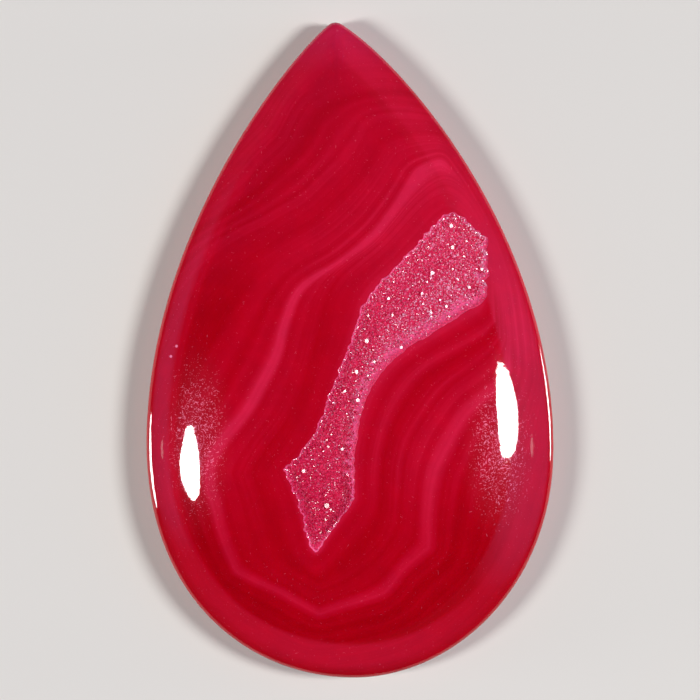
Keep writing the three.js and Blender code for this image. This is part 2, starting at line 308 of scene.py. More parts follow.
growth_lines = {
    0.0: rim_corners,
    2.0: [
        (7.7, 12.5), (6.6, 12.1), (5.4, 11.2), (4.2, 9.8), (2.7, 8.2), (1.1, 6.9), (-0.5, 5.5), (-1.3, 3.9),
        (-1.8, 0.8), (-2.3, -0.8), (-2.8, -2.7), (-3.8, -5.1), (-5.2, -7.4), (-6.7, -9.5), (-6.7, -9.5),
        (-5.6, -11.7), (-4.8, -14.1), (-4.0, -16.4), (-2.6, -17.4), (-2.6, -17.4), (-1.3, -16.3),
        (-0.1, -14.9), (1.3, -12.9), (1.6, -11.7), (1.6, -10.2), (1.7, -8.6), (2.0, -7.0), (2.4, -5.5),
        (3.1, -3.9), (4.2, -2.3), (5.8, -0.9), (7.7, 0.2), (10.1, 1.4), (11.4, 2.2), (11.4, 2.2),
        (11.3, 4.7), (11.3, 6.9), (11.0, 8.9), (10.1, 10.8), (8.9, 12.1),
    ],
    4.0: [
        (7.7, 13.7), (6.2, 12.9), (4.6, 11.5), (3.4, 10.0), (1.9, 8.2), (-0.1, 6.9), (-1.8, 5.5),
        (-2.6, 3.9), (-3.4, 0.8), (-3.8, -0.8), (-4.4, -2.7), (-5.6, -5.1), (-7.3, -7.0), (-8.7, -9.5),
        (-8.7, -9.5), (-7.9, -11.7), (-7.0, -14.5), (-6.5, -16.1), (-6.5, -16.1), (-4.8, -17.2),
        (-2.4, -18.5), (-2.4, -18.5), (-0.5, -17.6), (1.1, -16.6), (2.7, -15.0), (3.4, -13.3), (3.4, -13.3),
        (3.6, -10.2), (3.8, -8.6), (4.2, -7.0), (5.0, -5.5), (7.0, -2.7), (8.5, -1.6), (10.5, -0.2),
        (11.9, 0.9), (11.9, 0.9), (11.8, 3.9), (11.7, 6.9), (11.4, 8.8), (10.5, 11.3), (9.3, 12.9),
    ],
    6.0: [
        (7.7, 15.1), (6.3, 14.6), (5.2, 14.1), (4.6, 13.1), (3.8, 11.7), (3.1, 10.7), (1.9, 9.1),
        (0.0, 7.45), (-1.2, 6.55), (-2.5, 5.8), (-3.7, 5.05), (-4.35, 4.1), (-4.9, 2.7), (-5.35, 1.2),
        (-5.7, -0.4), (-7.0, -2.7), (-8.1, -4.9), (-9.9, -6.8), (-10.9, -8.2), (-11.2, -10.6),
        (-10.6, -12.1), (-10.1, -14.1), (-8.8, -17.2), (-8.8, -17.2), (-7.0, -18.1), (-5.2, -18.8),
        (-4.0, -19.6), (-2.4, -20.4), (-2.4, -20.4), (-0.5, -19.8), (2.1, -19.1), (3.0, -18.6),
        (4.1, -16.9), (5.4, -15.8), (6.0, -15.3), (6.0, -15.3), (6.0, -13.3), (6.15, -11.0),
        (6.5, -9.4), (7.05, -8.2), (7.8, -6.7), (8.9, -4.9), (10.1, -3.9), (11.3, -3.0), (12.6, -1.6),
        (12.6, -1.6), (12.8, 0.8), (12.6, 3.9), (12.1, 7.0), (11.0, 9.8), (9.7, 12.1), (8.5, 13.9),
    ],
    13.5: [
        (1.1, 17.8), (0.5, 16.4), (-0.5, 15.0), (-1.4, 14.1), (-2.6, 13.1), (-3.8, 11.9), (-5.2, 11.1),
        (-6.7, 10.2), (-8.7, 9.4), (-11.3, 8.0), (-14.2, 5.9), (-17.3, 1.6), (-20.4, -5.5), (-18.9, -14.9),
        (-13.4, -22.7), (-4.0, -29.0), (5.4, -27.4), (13.2, -22.7), (18.7, -13.3), (20.3, -3.9),
        (18.7, 5.5), (14.8, 12.5), (11.3, 16.4), (7.7, 18.3), (4.6, 18.6), (2.7, 18.4),
    ],
    17.0: [
        (0.1, 20.2), (-1.6, 19.6), (-3.1, 18.9), (-3.8, 17.6), (-4.5, 15.8), (-6.2, 14.5), (-7.3, 13.1),
        (-8.8, 11.7), (-11.4, 10.0), (-14.9, 7.8), (-18.9, 3.1), (-22.8, -3.9), (-22.0, -16.4),
        (-15.7, -26.6), (-4.0, -32.1), (8.5, -30.5), (17.9, -24.3), (23.4, -13.3), (25.0, -3.9),
        (22.6, 6.3), (17.1, 14.9), (11.7, 18.8), (7.0, 20.7), (3.4, 21.0),
    ],
    23.0: [
        (-1.3, 26.2), (-4.0, 23.9), (-5.9, 21.1), (-8.3, 18.0), (-10.6, 15.7), (-13.4, 12.9), (-18.1, 8.6),
        (-23.6, 2.3), (-26.7, -5.5), (-25.9, -18.0), (-18.1, -30.5), (-4.0, -36.0), (10.9, -35.2),
        (22.6, -27.4), (28.9, -14.9), (29.7, -3.9), (26.5, 8.6), (19.5, 18.8), (11.7, 23.5), (5.4, 25.8),
        (1.5, 26.6),
    ],
}
LINES_HEIGHT = GIRDLE_HEIGHT + 2.6  # the lines hold at this height, near the top of the dome
BAND_SLANT = np.array([0.28, -0.16])  # how far the layers lean, for each millimetre below it
BAND_CLOSING = 0.45  # and how far they close in


def growth_at(points):
    """How far out in the order of growth each (x, y, z) lies."""
    depth = np.maximum(LINES_HEIGHT - points[:, 2], 0)
    flat = points[:, :2] + depth[:, None] * BAND_SLANT
    lines = [(growth, rounded(corners)) for growth, corners in growth_lines.items()]
    distances = [np.linalg.norm(flat - nearest(flat, line), axis=1) for _, line in lines]
    outside = [~is_inside(flat, line) for _, line in lines]
    growth = -distances[0]
    for k, (low, _) in enumerate(lines):
        if k + 1 < len(lines):
            share = distances[k] / np.maximum(distances[k] + distances[k + 1], 1e-9)
            between = low + (lines[k + 1][0] - low) * share
        else:
            between = low + distances[k]
        growth = np.where(outside[k], between, growth)
    return growth + depth * BAND_CLOSING


def mesh_points(mesh):
    """A mesh's points in millimetres."""
    flat = np.empty(len(mesh.vertices) * 3, np.float32)
    mesh.vertices.foreach_get("co", flat)
    return flat.reshape(-1, 3).astype(float) / MM


def keep_on_points(mesh, name, values):
    """Stores one number on each point, for the material to read."""
    attribute = mesh.attributes.new(name, "FLOAT", "POINT")
    attribute.data.foreach_set("value", np.asarray(values, np.float32))


def smooth(values, low, high):
    """0 below one value and 1 above another, with an even curve between."""
    share = np.clip((values - low) / (high - low), 0, 1)
    return share**2 * (3 - 2 * share)


def way_out(points):
    """For each point: the distance in from the outline, and the direction of the shortest way out."""
    out = nearest(points[:, :2], outline) - points[:, :2]
    inset = np.linalg.norm(out, axis=1)
    return inset, out / np.maximum(inset, 0.01)[:, None]


def faces(towards, way, narrowness):
    """How squarely the edge there faces a way, from 0 to 1."""
    return np.clip(towards @ np.array(way), 0, 1) ** narrowness


# The lighter band along the edge is painted reflection: the room's glow on the shoulder, painted into the
# colour.
EDGE_VEIL_WIDTH = 2.4  # the width of the lighter band along the edge


def painted_edge_veil_at(points):
    """How much lighter the stone is painted than its middle. A band along the edge carries a painted
    reflection of the room's glow on the shoulder, most of all at the foot, and a darker band of painted
    shade lies inside it."""
    inset, towards = way_out(points)
    foot = faces(towards, (0, -1), 3)
    left_heel = faces(towards, (-0.94, -0.34), 4)
    left_shoulder = faces(towards, (-0.68, 0.73), 4)
    right_shoulder = faces(towards, (0.77, 0.64), 4)
    right_side = faces(towards, (0.94, 0.34), 2)
    inner_edge = EDGE_VEIL_WIDTH + 0.4 * foot
    within = 1 - smooth(inset - inner_edge, -0.25, 0.25)
    band = smooth(inset, 0.2, 1.3) * within
    painted_shade_band = (1 - within) * (1 - smooth(inset, 3.6, 6.5))
    veil_strength = 0.21 * foot + 0.07 * left_heel + 0.07 * right_shoulder + 0.02
    shade_strength = 0.13 * (1 - right_side) * (1 - 0.8 * foot) * (1 - 0.4 * left_shoulder)
    return 1 + band * veil_strength - painted_shade_band * shade_strength


def painted_veil_at(points):
    """How far the layers along the upper right side, near the edge, are painted over as one pale blur. This
    is a painted reflection of the room's veil on the shoulder, over layers squeezed close against the edge
    there.
    """
    inset, towards = way_out(points)
    upper_right = smooth(towards @ np.array([0.86, 0.5]), 0.6, 0.9)
    along = smooth(points[:, 1], -3.0, 1.0) * (1 - smooth(points[:, 1], 12.5, 15.5))
    return upper_right * along * (1 - smooth(inset, 2.0, 3.6))


agate_points = mesh_points(cut_mesh)
keep_on_points(cut_mesh, "growth", growth_at(agate_points))
keep_on_points(cut_mesh, "painted_edge_veil", painted_edge_veil_at(agate_points))
keep_on_points(cut_mesh, "painted_veil", painted_veil_at(agate_points))
# Each patch lies round a lamp's reflection on a shoulder, where the scratches are painted as glints.
glint_patch_places = [  # the middle and the reach of each scuffed patch
    ((-11.9, -7.0), (3.1, 8.0)),
    ((11.6, -7.6), (3.2, 8.0)),
]
patches = [
    np.clip(1 - (((agate_points[:, :2] - middle) / reach) ** 2).sum(axis=1), 0, 1)
    for middle, reach in glint_patch_places
]
on_the_dome = agate_points[:, 2] > GIRDLE_HEIGHT
keep_on_points(cut_mesh, "scuffs_and_glints", np.max(patches, axis=0) ** 1.5 * on_the_dome)


def linear(hex_colour):
    """An sRGB hex colour as the linear one that a shader takes."""
    parts = [int(hex_colour[k : k + 2], 16) / 255 for k in (1, 3, 5)]
    return tuple(c / 12.92 if c <= 0.04045 else ((c + 0.055) / 1.055) ** 2.4 for c in parts) + (1.0,)


def add(tree, kind, inputs=None, **settings):
    """Adds a node with its settings. An input is a value, or the socket that it is linked to."""
    node = tree.nodes.new(kind)
    for name, value in settings.items():
        setattr(node, name, value)
    for name, value in (inputs or {}).items():
        if isinstance(value, bpy.types.NodeSocket):
            tree.links.new(value, node.inputs[name])
        else:
            node.inputs[name].default_value = value
    return node


def set_stops(ramp_node, stops):
    """Gives a colour ramp its stops, as a dict of position to colour."""
    ramp = ramp_node.color_ramp
    while len(ramp.elements) > 1:
        ramp.elements.remove(ramp.elements[-1])
    for k, (position, colour) in enumerate(stops.items()):
        element = ramp.elements[0] if k == 0 else ramp.elements.new(position)
        element.position = position
        element.color = colour


def new_material(name):
    material = bpy.data.materials.new(name)
    material.use_nodes = True
    material.node_tree.nodes.clear()
    return material, material.node_tree


def cells(size):
    """The scale of a noise whose cells have a size in millimetres."""
    return 1 / (size * MM)


# Dyed chalcedony with a felt polish. The dye sinks unevenly into the layers: a dense layer stays pink, and
# a porous one goes deep crimson. Light enters it a millimetre or so, so the layers' edges are soft, and the
# polish gives a sharp reflection.
dyed_agate, tree = new_material("polished_dyed_agate")
growth = add(tree, "ShaderNodeAttribute", attribute_name="growth").outputs["Fac"]
position = add(tree, "ShaderNodeTexCoord").outputs["Object"]
WAVER = 0.35  # how far the layers waver
waver = add(tree, "ShaderNodeTexNoise", {"Vector": position, "Scale": cells(6.6667), "Detail": 2.0})
waver_centred = add(tree, "ShaderNodeMath", {0: waver.outputs["Fac"], 1: 0.5}, operation="SUBTRACT")
wavered = add(tree, "ShaderNodeMath", {
    0: waver_centred.outputs[0], 1: WAVER, 2: growth,
}, operation="MULTIPLY_ADD")
GROWTH_LOW, GROWTH_HIGH = -2.0, 26.0
along_growth = add(tree, "ShaderNodeMapRange", {
    "Value": wavered.outputs[0], "From Min": GROWTH_LOW, "From Max": GROWTH_HIGH,
})
# How pale each layer is, by its growth: 0 is the deepest crimson and 1 the palest pink. The layers differ a
# little round the stone: on the two sides of the hollow, at the foot and towards the tip.
layers_left = {
    -0.3: 0.7, 0.1: 0.55, 0.5: 0.38, 1.35: 0.43, 1.7: 0.4, 2.1: 0.27, 2.8: 0.28, 3.7: 0.46, 4.1: 0.4,
    4.65: 0.56, 5.2: 0.42, 5.5: 0.76, 5.75: 1.0, 6.1: 1.0, 6.35: 0.7, 6.7: 0.45, 7.1: 0.46, 7.6: 0.27,
    8.25: 0.44, 8.9: 0.38, 9.5: 0.17, 10.5: 0.2, 12.0: 0.3,
}
layers_right = {
    -0.3: 0.9, 0.4: 0.8, 0.75: 0.6, 1.35: 0.45, 1.95: 0.66, 2.25: 0.72, 2.55: 0.5, 2.85: 0.33, 3.3: 0.33,
    4.05: 0.58, 4.35: 0.48, 4.95: 0.68, 5.25: 0.55, 5.55: 0.68, 5.85: 0.93, 6.15: 0.93, 6.45: 0.65,
    6.75: 0.45, 7.05: 0.5, 7.6: 0.34, 8.1: 0.4, 8.8: 0.3, 10.0: 0.3,
}
layers_foot = {
    -0.3: 1.0, 0.15: 0.8, 0.55: 0.45, 0.9: 0.3, 1.65: 0.4, 2.1: 0.28, 2.5: 0.1, 3.2: 0.1, 3.75: 0.23,
    4.3: 0.18, 4.8: 0.27, 5.35: 0.2, 5.6: 0.45, 5.85: 0.72, 6.1: 0.74, 6.35: 0.52, 6.65: 0.22, 7.4: 0.05,
    8.2: 0.1, 10.0: 0.1,
}
layers_tip = {
    -0.3: 0.8, 0.4: 0.64, 1.35: 0.67, 2.25: 0.75, 3.0: 0.74, 3.9: 0.76, 4.5: 0.86, 4.95: 1.0, 5.4: 1.05,
    5.9: 1.05, 6.15: 0.9, 6.4: 0.68, 6.8: 0.58, 7.35: 0.66, 7.95: 0.5, 8.7: 0.62, 9.3: 0.57, 10.2: 0.47,
    10.95: 0.29, 11.9: 0.45, 12.7: 0.42, 13.35: 0.62, 13.95: 0.42, 14.3: 0.52, 15.15: 0.33, 15.5: 0.43,
    16.2: 0.14, 16.9: 0.42, 17.6: 0.5, 20.0: 0.5, 24.0: 0.65,
}


def paleness_of(layers):
    """The paleness of each layer in one part of the stone, read off at the growth."""
    ramp = add(tree, "ShaderNodeValToRGB", {"Fac": along_growth.outputs[0]})
    set_stops(ramp, {
        (g - GROWTH_LOW) / (GROWTH_HIGH - GROWTH_LOW): (pale, pale, pale, 1) for g, pale in layers.items()
    })
    return ramp.outputs["Color"]


def blend(along, low, high, before, after):
    """One paleness going over into another between two places along the stone, in millimetres."""
    share = add(tree, "ShaderNodeMapRange", {
        "Value": along, "From Min": low * MM, "From Max": high * MM,
    }, interpolation_type="SMOOTHSTEP")
    return add(tree, "ShaderNodeMix", {
        "Factor": share.outputs[0], "A": before, "B": after,
    }, data_type="RGBA").outputs["Result"]


place = add(tree, "ShaderNodeSeparateXYZ", {"Vector": position})
layers = blend(place.outputs["X"], -3, 3, paleness_of(layers_left), paleness_of(layers_right))
layers = blend(place.outputs["Y"], -16, -8, paleness_of(layers_foot), layers)
layers = blend(place.outputs["Y"], 3, 9, layers, paleness_of(layers_tip))
# The pale blur is painted reflection: the room's veil on the upper right shoulder, laid over the layers
# there.
PAINTED_VEIL_PALENESS = 0.62
painted_veil = add(tree, "ShaderNodeAttribute", attribute_name="painted_veil").outputs["Fac"]
layers = add(tree, "ShaderNodeMix", {
    "Factor": painted_veil, "A": layers, "B": (PAINTED_VEIL_PALENESS, PAINTED_VEIL_PALENESS, PAINTED_VEIL_PALENESS, 1),
}, data_type="RGBA").outputs["Result"]
FINE_LAYERS = 1.9  # to a millimetre of growth, about the finest that can be told apart
fine_layers = add(tree, "ShaderNodeTexNoise", {
    "W": wavered.outputs[0], "Scale": FINE_LAYERS, "Detail": 2.0, "Roughness": 0.6,
}, noise_dimensions="1D")
fading = add(tree, "ShaderNodeTexNoise", {"Vector": position, "Scale": cells(7.6923), "Detail": 1.0})
fine_strength = add(tree, "ShaderNodeMapRange", {
    "Value": fading.outputs["Fac"], "From Min": 0.35, "From Max": 0.65, "To Min": 0.1, "To Max": 0.5,
})
fine_centred = add(tree, "ShaderNodeMath", {0: fine_layers.outputs["Fac"], 1: 0.5}, operation="SUBTRACT")
paleness = add(tree, "ShaderNodeMath", {
    0: fine_centred.outputs[0], 1: fine_strength.outputs[0], 2: layers,
}, operation="MULTIPLY_ADD")
dyed = add(tree, "ShaderNodeValToRGB", {"Fac": paleness.outputs[0]})
set_stops(dyed, {
    0.0: linear("#A70010"), 0.2: linear("#AF0115"), 0.4: linear("#B6031D"), 0.6: linear("#BC0826"),
    0.8: linear("#C61233"), 1.0: linear("#D11D43"),
})
mottles = add(tree, "ShaderNodeTexNoise", {
    "Vector": position, "Scale": cells(2.0), "Detail": 5.0, "Roughness": 0.65,
})
mottled = add(tree, "ShaderNodeMapRange", {
    "Value": mottles.outputs["Fac"], "From Min": 0.3, "From Max": 0.7, "To Min": 0.93, "To Max": 1.07,
})
# The painted reflection band along the edge, with its band of painted shade inside, scales the colour here.
painted_edge_veil = add(tree, "ShaderNodeAttribute", attribute_name="painted_edge_veil").outputs["Fac"]
tone = add(tree, "ShaderNodeMath", {0: mottled.outputs[0], 1: painted_edge_veil}, operation="MULTIPLY")
toned = add(tree, "ShaderNodeVectorMath", {
    0: dyed.outputs["Color"], "Scale": tone.outputs[0],
}, operation="SCALE")
# A little cool pink is painted in with the reflection band along the edge. Towards the tip, a paler pink is
# a painted reflection of the room on the slopes that meet there.
lit_edge = add(tree, "ShaderNodeMapRange", {
    "Value": painted_edge_veil, "From Min": 0.99, "From Max": 1.21, "To Max": 0.04,
})
TIP_SHEEN_LENGTH = 30  # from the middle of the stone up to past its tip
up_the_stone = add(tree, "ShaderNodeMapRange", {
    "Value": place.outputs["Y"], "From Min": 0.0, "From Max": TIP_SHEEN_LENGTH * MM,
})
painted_tip_sheen = add(tree, "ShaderNodeValToRGB", {"Fac": up_the_stone.outputs[0]})
set_stops(painted_tip_sheen, {0.1: (0, 0, 0, 1), 0.72: (0.02, 0.02, 0.02, 1), 0.84: (0.1, 0.1, 0.1, 1)})
lit_share = add(tree, "ShaderNodeMath", {
    0: lit_edge.outputs[0], 1: painted_tip_sheen.outputs["Color"],
}, operation="ADD")
lit = add(tree, "ShaderNodeMix", {
    "Factor": lit_share.outputs[0], "A": toned.outputs[0], "B": linear("#FF54AE"),
}, data_type="RGBA")

# Fine scratches and pits, a few hundredths of a millimetre wide, are painted as pale marks. They are sparse
# elsewhere and dense in a patch round each lamp's reflection on the shoulders, where they are painted
# glints of the lamps.
# They are drawn 0.07 mm wide, because finer ones wouldn't show.
MARK_WIDTH = 0.07
MARK_CONTRAST = 20.0
scuffs_and_glints = add(tree, "ShaderNodeAttribute", attribute_name="scuffs_and_glints").outputs["Fac"]
threshold = add(tree, "ShaderNodeMapRange", {"Value": scuffs_and_glints, "To Min": 0.84, "To Max": 0.71})
marks = 0.0
for turn, length in ((8, 0.4), (-35, 0.3), (55, 0.3), (-75, 0.4), (40, 0.1), (0, 0.1)):
    turned = add(tree, "ShaderNodeMapping", {
        "Vector": position, "Rotation": (0, 0, math.radians(turn)),
        "Scale": (MARK_WIDTH * MM, length * MM, length * MM),
    }, vector_type="TEXTURE")
    hairs = add(tree, "ShaderNodeTexNoise", {"Vector": turned.outputs[0], "Scale": 1.0, "Detail": 0.0})
    over = add(tree, "ShaderNodeMath", {
        0: hairs.outputs["Fac"], 1: threshold.outputs[0],
    }, operation="SUBTRACT")
    mark = add(tree, "ShaderNodeMath", {
        0: over.outputs[0], 1: MARK_CONTRAST,
    }, operation="MULTIPLY", use_clamp=True)
    marks = add(tree, "ShaderNodeMath", {0: mark.outputs[0], 1: marks}, operation="MAXIMUM").outputs[0]
mark_share = add(tree, "ShaderNodeMapRange", {"Value": scuffs_and_glints, "To Min": 0.15, "To Max": 0.75})
mark_strength = add(tree, "ShaderNodeMath", {0: marks, 1: mark_share.outputs[0]}, operation="MULTIPLY")
# A faint pale haze over each patch is a painted highlight: the lamps' glow caught in scratches too fine to
# draw.
GLINT_HAZE = 0.03  # what the marks too fine to draw add all over the patch
glints_and_specks = add(tree, "ShaderNodeMath", {
    0: scuffs_and_glints, 1: GLINT_HAZE, 2: mark_strength.outputs[0],
}, operation="MULTIPLY_ADD").outputs[0]
# Two white specks stand alone, at the left.
SPECK_CORE = 0.07
SPECK_RADIUS = 0.13
across = add(tree, "ShaderNodeCombineXYZ", {"X": place.outputs["X"], "Y": place.outputs["Y"]})
for speck in ((-13.55, 0.3), (-14.0, -0.5)):
    away = add(tree, "ShaderNodeVectorMath", {
        0: across.outputs[0], 1: (speck[0] * MM, speck[1] * MM, 0),
    }, operation="DISTANCE")
    spot = add(tree, "ShaderNodeMapRange", {
        "Value": away.outputs["Value"], "From Min": SPECK_RADIUS * MM, "From Max": SPECK_CORE * MM,
        "To Max": 0.7,
    })
    glints_and_specks = add(tree, "ShaderNodeMath", {0: spot.outputs[0], 1: glints_and_specks}, operation="MAXIMUM").outputs[0]
# The painted glints and the two specks are mixed into the stone's colour here.
stone_with_glints_and_specks = add(tree, "ShaderNodeMix", {
    "Factor": glints_and_specks, "A": lit.outputs["Result"], "B": linear("#FF96BE"),
}, data_type="RGBA")
POLISH_DEPTH = 0.006  # the felt leaves the face very slightly uneven
hand_polish = add(tree, "ShaderNodeTexNoise", {"Vector": position, "Scale": cells(1.1111), "Detail": 3.0})
worn_polish = add(tree, "ShaderNodeBump", {
    "Height": hand_polish.outputs["Fac"], "Strength": 1.0, "Distance": POLISH_DEPTH * MM,
})
body = add(tree, "ShaderNodeBsdfPrincipled", {
    "Base Color": stone_with_glints_and_specks.outputs["Result"],
    "Roughness": 0.4,
    "IOR": 1.54,
    "Specular IOR Level": 0.0,
    "Subsurface Weight": 0.3,
    "Subsurface Radius": (1.0, 0.12, 0.16),
    "Subsurface Scale": 0.9 * MM,
    "Coat Weight": 1.0,
    "Coat Roughness": 0.03,
    "Coat IOR": 1.54,
    "Coat Normal": worn_polish.outputs[0],
})
add(tree, "ShaderNodeOutputMaterial", {"Surface": body.outputs[0]})
cut_mesh.materials.clear()
cut_mesh.materials.append(dyed_agate)

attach(agate, "root")
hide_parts("agate_stone")


# The druse's lining
# The hollow's last layer: clear quartz that grew over the agate as a smooth translucent crust, the bed of
# the points. Its rim is widest on the lower right flank, which the wheel cut at a low angle.

CRUST_DROP = 0.85  # from the dome down to the crust's face in the middle
CRUST_TUCK = 0.02  # the crust's edge lies this far under the dome
STEEP_RUN = 0.75  # how far in the face gets there
GENTLE_RUN = 1.9  # and how far in on the flank
DROP_AT_TIP = 0.1  # the share of the drop that is left at the lower tip, which the crust fills
RIM_THICKNESS = 0.2
OFF_THE_WALL = 0.1  # between the crust's back and the hollow's wall
MARGIN_WIDTH = 0.12  # of the smooth rim on the steep side
FLANK_MARGIN = 1.3  # and how much wider it is on the flank


def crust_shape(points):
    """For each point: the distance in from the rim, and how gently the crust slopes there, from 0 to 1."""
    on_rim = nearest(points, rim)
    out = on_rim - points
    inset = np.linalg.norm(out, axis=1)
    facing = (out @ to_flank) / np.maximum(inset, 0.05)
    return inset, np.clip(facing, 0, 1) ** 2 * smooth(points[:, 1], -12.5, -9.0)


def crust_face(points):
    inset, gentle = crust_shape(points)
    run = STEEP_RUN + (GENTLE_RUN - STEEP_RUN) * gentle
    drop_share = DROP_AT_TIP + (1 - DROP_AT_TIP) * smooth(points[:, 1], -15.4, -12.8)
    return dome_height(points) - CRUST_TUCK - (CRUST_DROP - CRUST_TUCK) * drop_share * bowl(inset, run)


def crust_underside(points):
    inset = np.linalg.norm(points - nearest(points, rim), axis=1)
    fall = HOLLOW_DEPTH - RIM_THICKNESS - OFF_THE_WALL
    return dome_height(points) - RIM_THICKNESS - fall * bowl(inset - OFF_THE_WALL, HOLLOW_WALL_RUN)


face_shares = (0, 0.02, 0.05, 0.09, 0.13, 0.17, 0.22, 0.27, 0.33, 0.4, 0.48, 0.56, 0.65, 0.75, 0.85, 0.94)
underside_shares = (0, 0.06, 0.14, 0.25, 0.4, 0.7, 0.94)
face_rings = [raised(rim_drawn_in(share), crust_face) for share in reversed(face_shares)]
underside_rings = [raised(rim_drawn_in(share), crust_underside) for share in underside_shares]
lining = skin("quartz_lining", face_rings + underside_rings)
lining.data.shade_smooth()
lining.data.set_sharp_from_angle(angle=SHARP_EDGE)
inset, gentle = crust_shape(mesh_points(lining.data)[:, :2])
margin_width = MARGIN_WIDTH + FLANK_MARGIN * gentle
keep_on_points(lining.data, "margin", np.clip(1 - inset / margin_width, 0, 1))

# Dyed quartz, too fine-grained to shine. It is pink where it is thin along the rim, and deeper where it
# lies under the points. Its grains are drawn 0.14 mm across, because the real ones are too fine to show.
fine_quartz, tree = new_material("fine_grained_dyed_quartz")
position = add(tree, "ShaderNodeTexCoord").outputs["Object"]
margin = add(tree, "ShaderNodeAttribute", attribute_name="margin").outputs["Fac"]
rim_tint = add(tree, "ShaderNodeValToRGB", {"Fac": margin})
set_stops(rim_tint, {
    0.0: linear("#D82656"), 0.3: linear("#F5659A"), 0.7: linear("#F0568A"), 0.88: linear("#E43A66"),
    1.0: linear("#F04A78"),
})
grains = add(tree, "ShaderNodeTexNoise", {"Vector": position, "Scale": cells(0.142857), "Detail": 2.0})
grain_tone = add(tree, "ShaderNodeMapRange", {
    "Value": grains.outputs["Fac"], "From Min": 0.3, "From Max": 0.7, "To Min": 0.72, "To Max": 1.32,
})
grained = add(tree, "ShaderNodeVectorMath", {
    0: rim_tint.outputs["Color"], "Scale": grain_tone.outputs[0],
}, operation="SCALE")
crust = add(tree, "ShaderNodeBsdfPrincipled", {
    "Base Color": grained.outputs[0],
    "Roughness": 0.5,
    "IOR": 1.544,
    "Specular IOR Level": 0.15,
    "Subsurface Weight": 0.2,
    "Subsurface Radius": (1.0, 0.25, 0.35),
    "Subsurface Scale": 0.3 * MM,
})
add(tree, "ShaderNodeOutputMaterial", {"Surface": crust.outputs[0]})
lining.data.materials.append(fine_quartz)

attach(lining, "root")
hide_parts("druzy_crust")


# The quartz points
# The druse's crystals: six-sided prisms of quartz closed by six faces at 52 degrees, grown on the crust
# with their points up, crowded together and each turned its own way. Most are 0.14 to 0.26 mm across, as
# coarse as they need to be to show, and a few are larger. Only those that catch a lamp flash white.

CRYSTAL_SPACING = 0.165
STRAY = 0.45 * CRYSTAL_SPACING  # from an even grid
FACE_SLOPE = math.radians(52)
CRYSTAL_RADII = (0.07, 0.13)  # small ones are the commonest
LARGE_RADII = (0.13, 0.18)
LARGE_SHARE = 0.015
CLEAR_OF_RIM = 0.02
BARE_FLANK = (0.05, 1.0)  # how much wider the bare rim is on the flank, from place to place
UNDER_THE_DOME = 0.03  # the wheel has left no point higher than this
TILT = 0.38  # the spread of the points' tilts, in radians
LEAN = 0.35  # how far they lean with the slope they grow on

bm = bmesh.new()
bmesh.ops.create_cone(
    bm, cap_ends=True, cap_tris=False, segments=6, radius1=1, radius2=1, depth=1,
    matrix=Matrix.Translation((0, 0, -0.5)),
)
top = [face for face in bm.faces if face.normal.z > 0.9]
bmesh.ops.poke(bm, faces=top)
apex = max(bm.verts, key=lambda v: (v.co.z, -v.co.xy.length))
apex.co.z = math.tan(FACE_SLOPE) * math.cos(math.radians(30))
one_crystal = bpy.data.meshes.new("one_crystal")
bm.to_mesh(one_crystal)
bm.free()

chance = random.Random(11)
low, high = rim.min(axis=0), rim.max(axis=0)
places = []
y = low[1]
while y < high[1]:
    x = low[0]
    while x < high[0]:
        places.append((x + chance.uniform(-STRAY, STRAY), y + chance.uniform(-STRAY, STRAY)))
        x += CRYSTAL_SPACING
    y += CRYSTAL_SPACING
places = np.array(places)
places = places[is_inside(places, rim)]
inset, gentle = crust_shape(places)
bare = np.array([chance.uniform(*BARE_FLANK) for _ in places])
places = places[inset > CLEAR_OF_RIM + gentle * bare]
inset, gentle = crust_shape(places)
heights = crust_face(places)
ceilings = dome_height(places) - UNDER_THE_DOME
step = 0.05
slopes = np.column_stack([
    (crust_face(places + [step, 0]) - heights) / step,
    (crust_face(places + [0, step]) - heights) / step,
])

crystals = bmesh.new()


def grow(x, y, z, radius, turn):
    """Adds a crystal with its shoulders at a height and its own radius and turn."""
    placed = one_crystal.copy()
    placed.transform(Matrix.Translation(Vector((x, y, z)) * MM) @ turn @ Matrix.Scale(radius * MM, 4))
    crystals.from_mesh(placed)
    bpy.data.meshes.remove(placed)


for (x, y), z, ceiling, slope, room in zip(places, heights, ceilings, slopes, inset):
    small, large = CRYSTAL_RADII
    radius = small + (large - small) * chance.random() ** 2
    if chance.random() < LARGE_SHARE:
        radius = chance.uniform(*LARGE_RADII)
    radius = min(radius, 0.05 + room * 0.4)  # only fine ones find room by the rim
    stand = radius * chance.uniform(0.1, 0.6)
    tilt = Euler((chance.gauss(0, TILT), chance.gauss(0, TILT), chance.uniform(0, math.pi)))
    lean = Vector((-slope[0] * LEAN, -slope[1] * LEAN, 1)).to_track_quat("Z", "Y").to_matrix()
    sink = max(0, z + stand + radius * 1.1 - ceiling)
    grow(x, y, z + stand - sink, radius, lean.to_4x4() @ tilt.to_matrix().to_4x4())

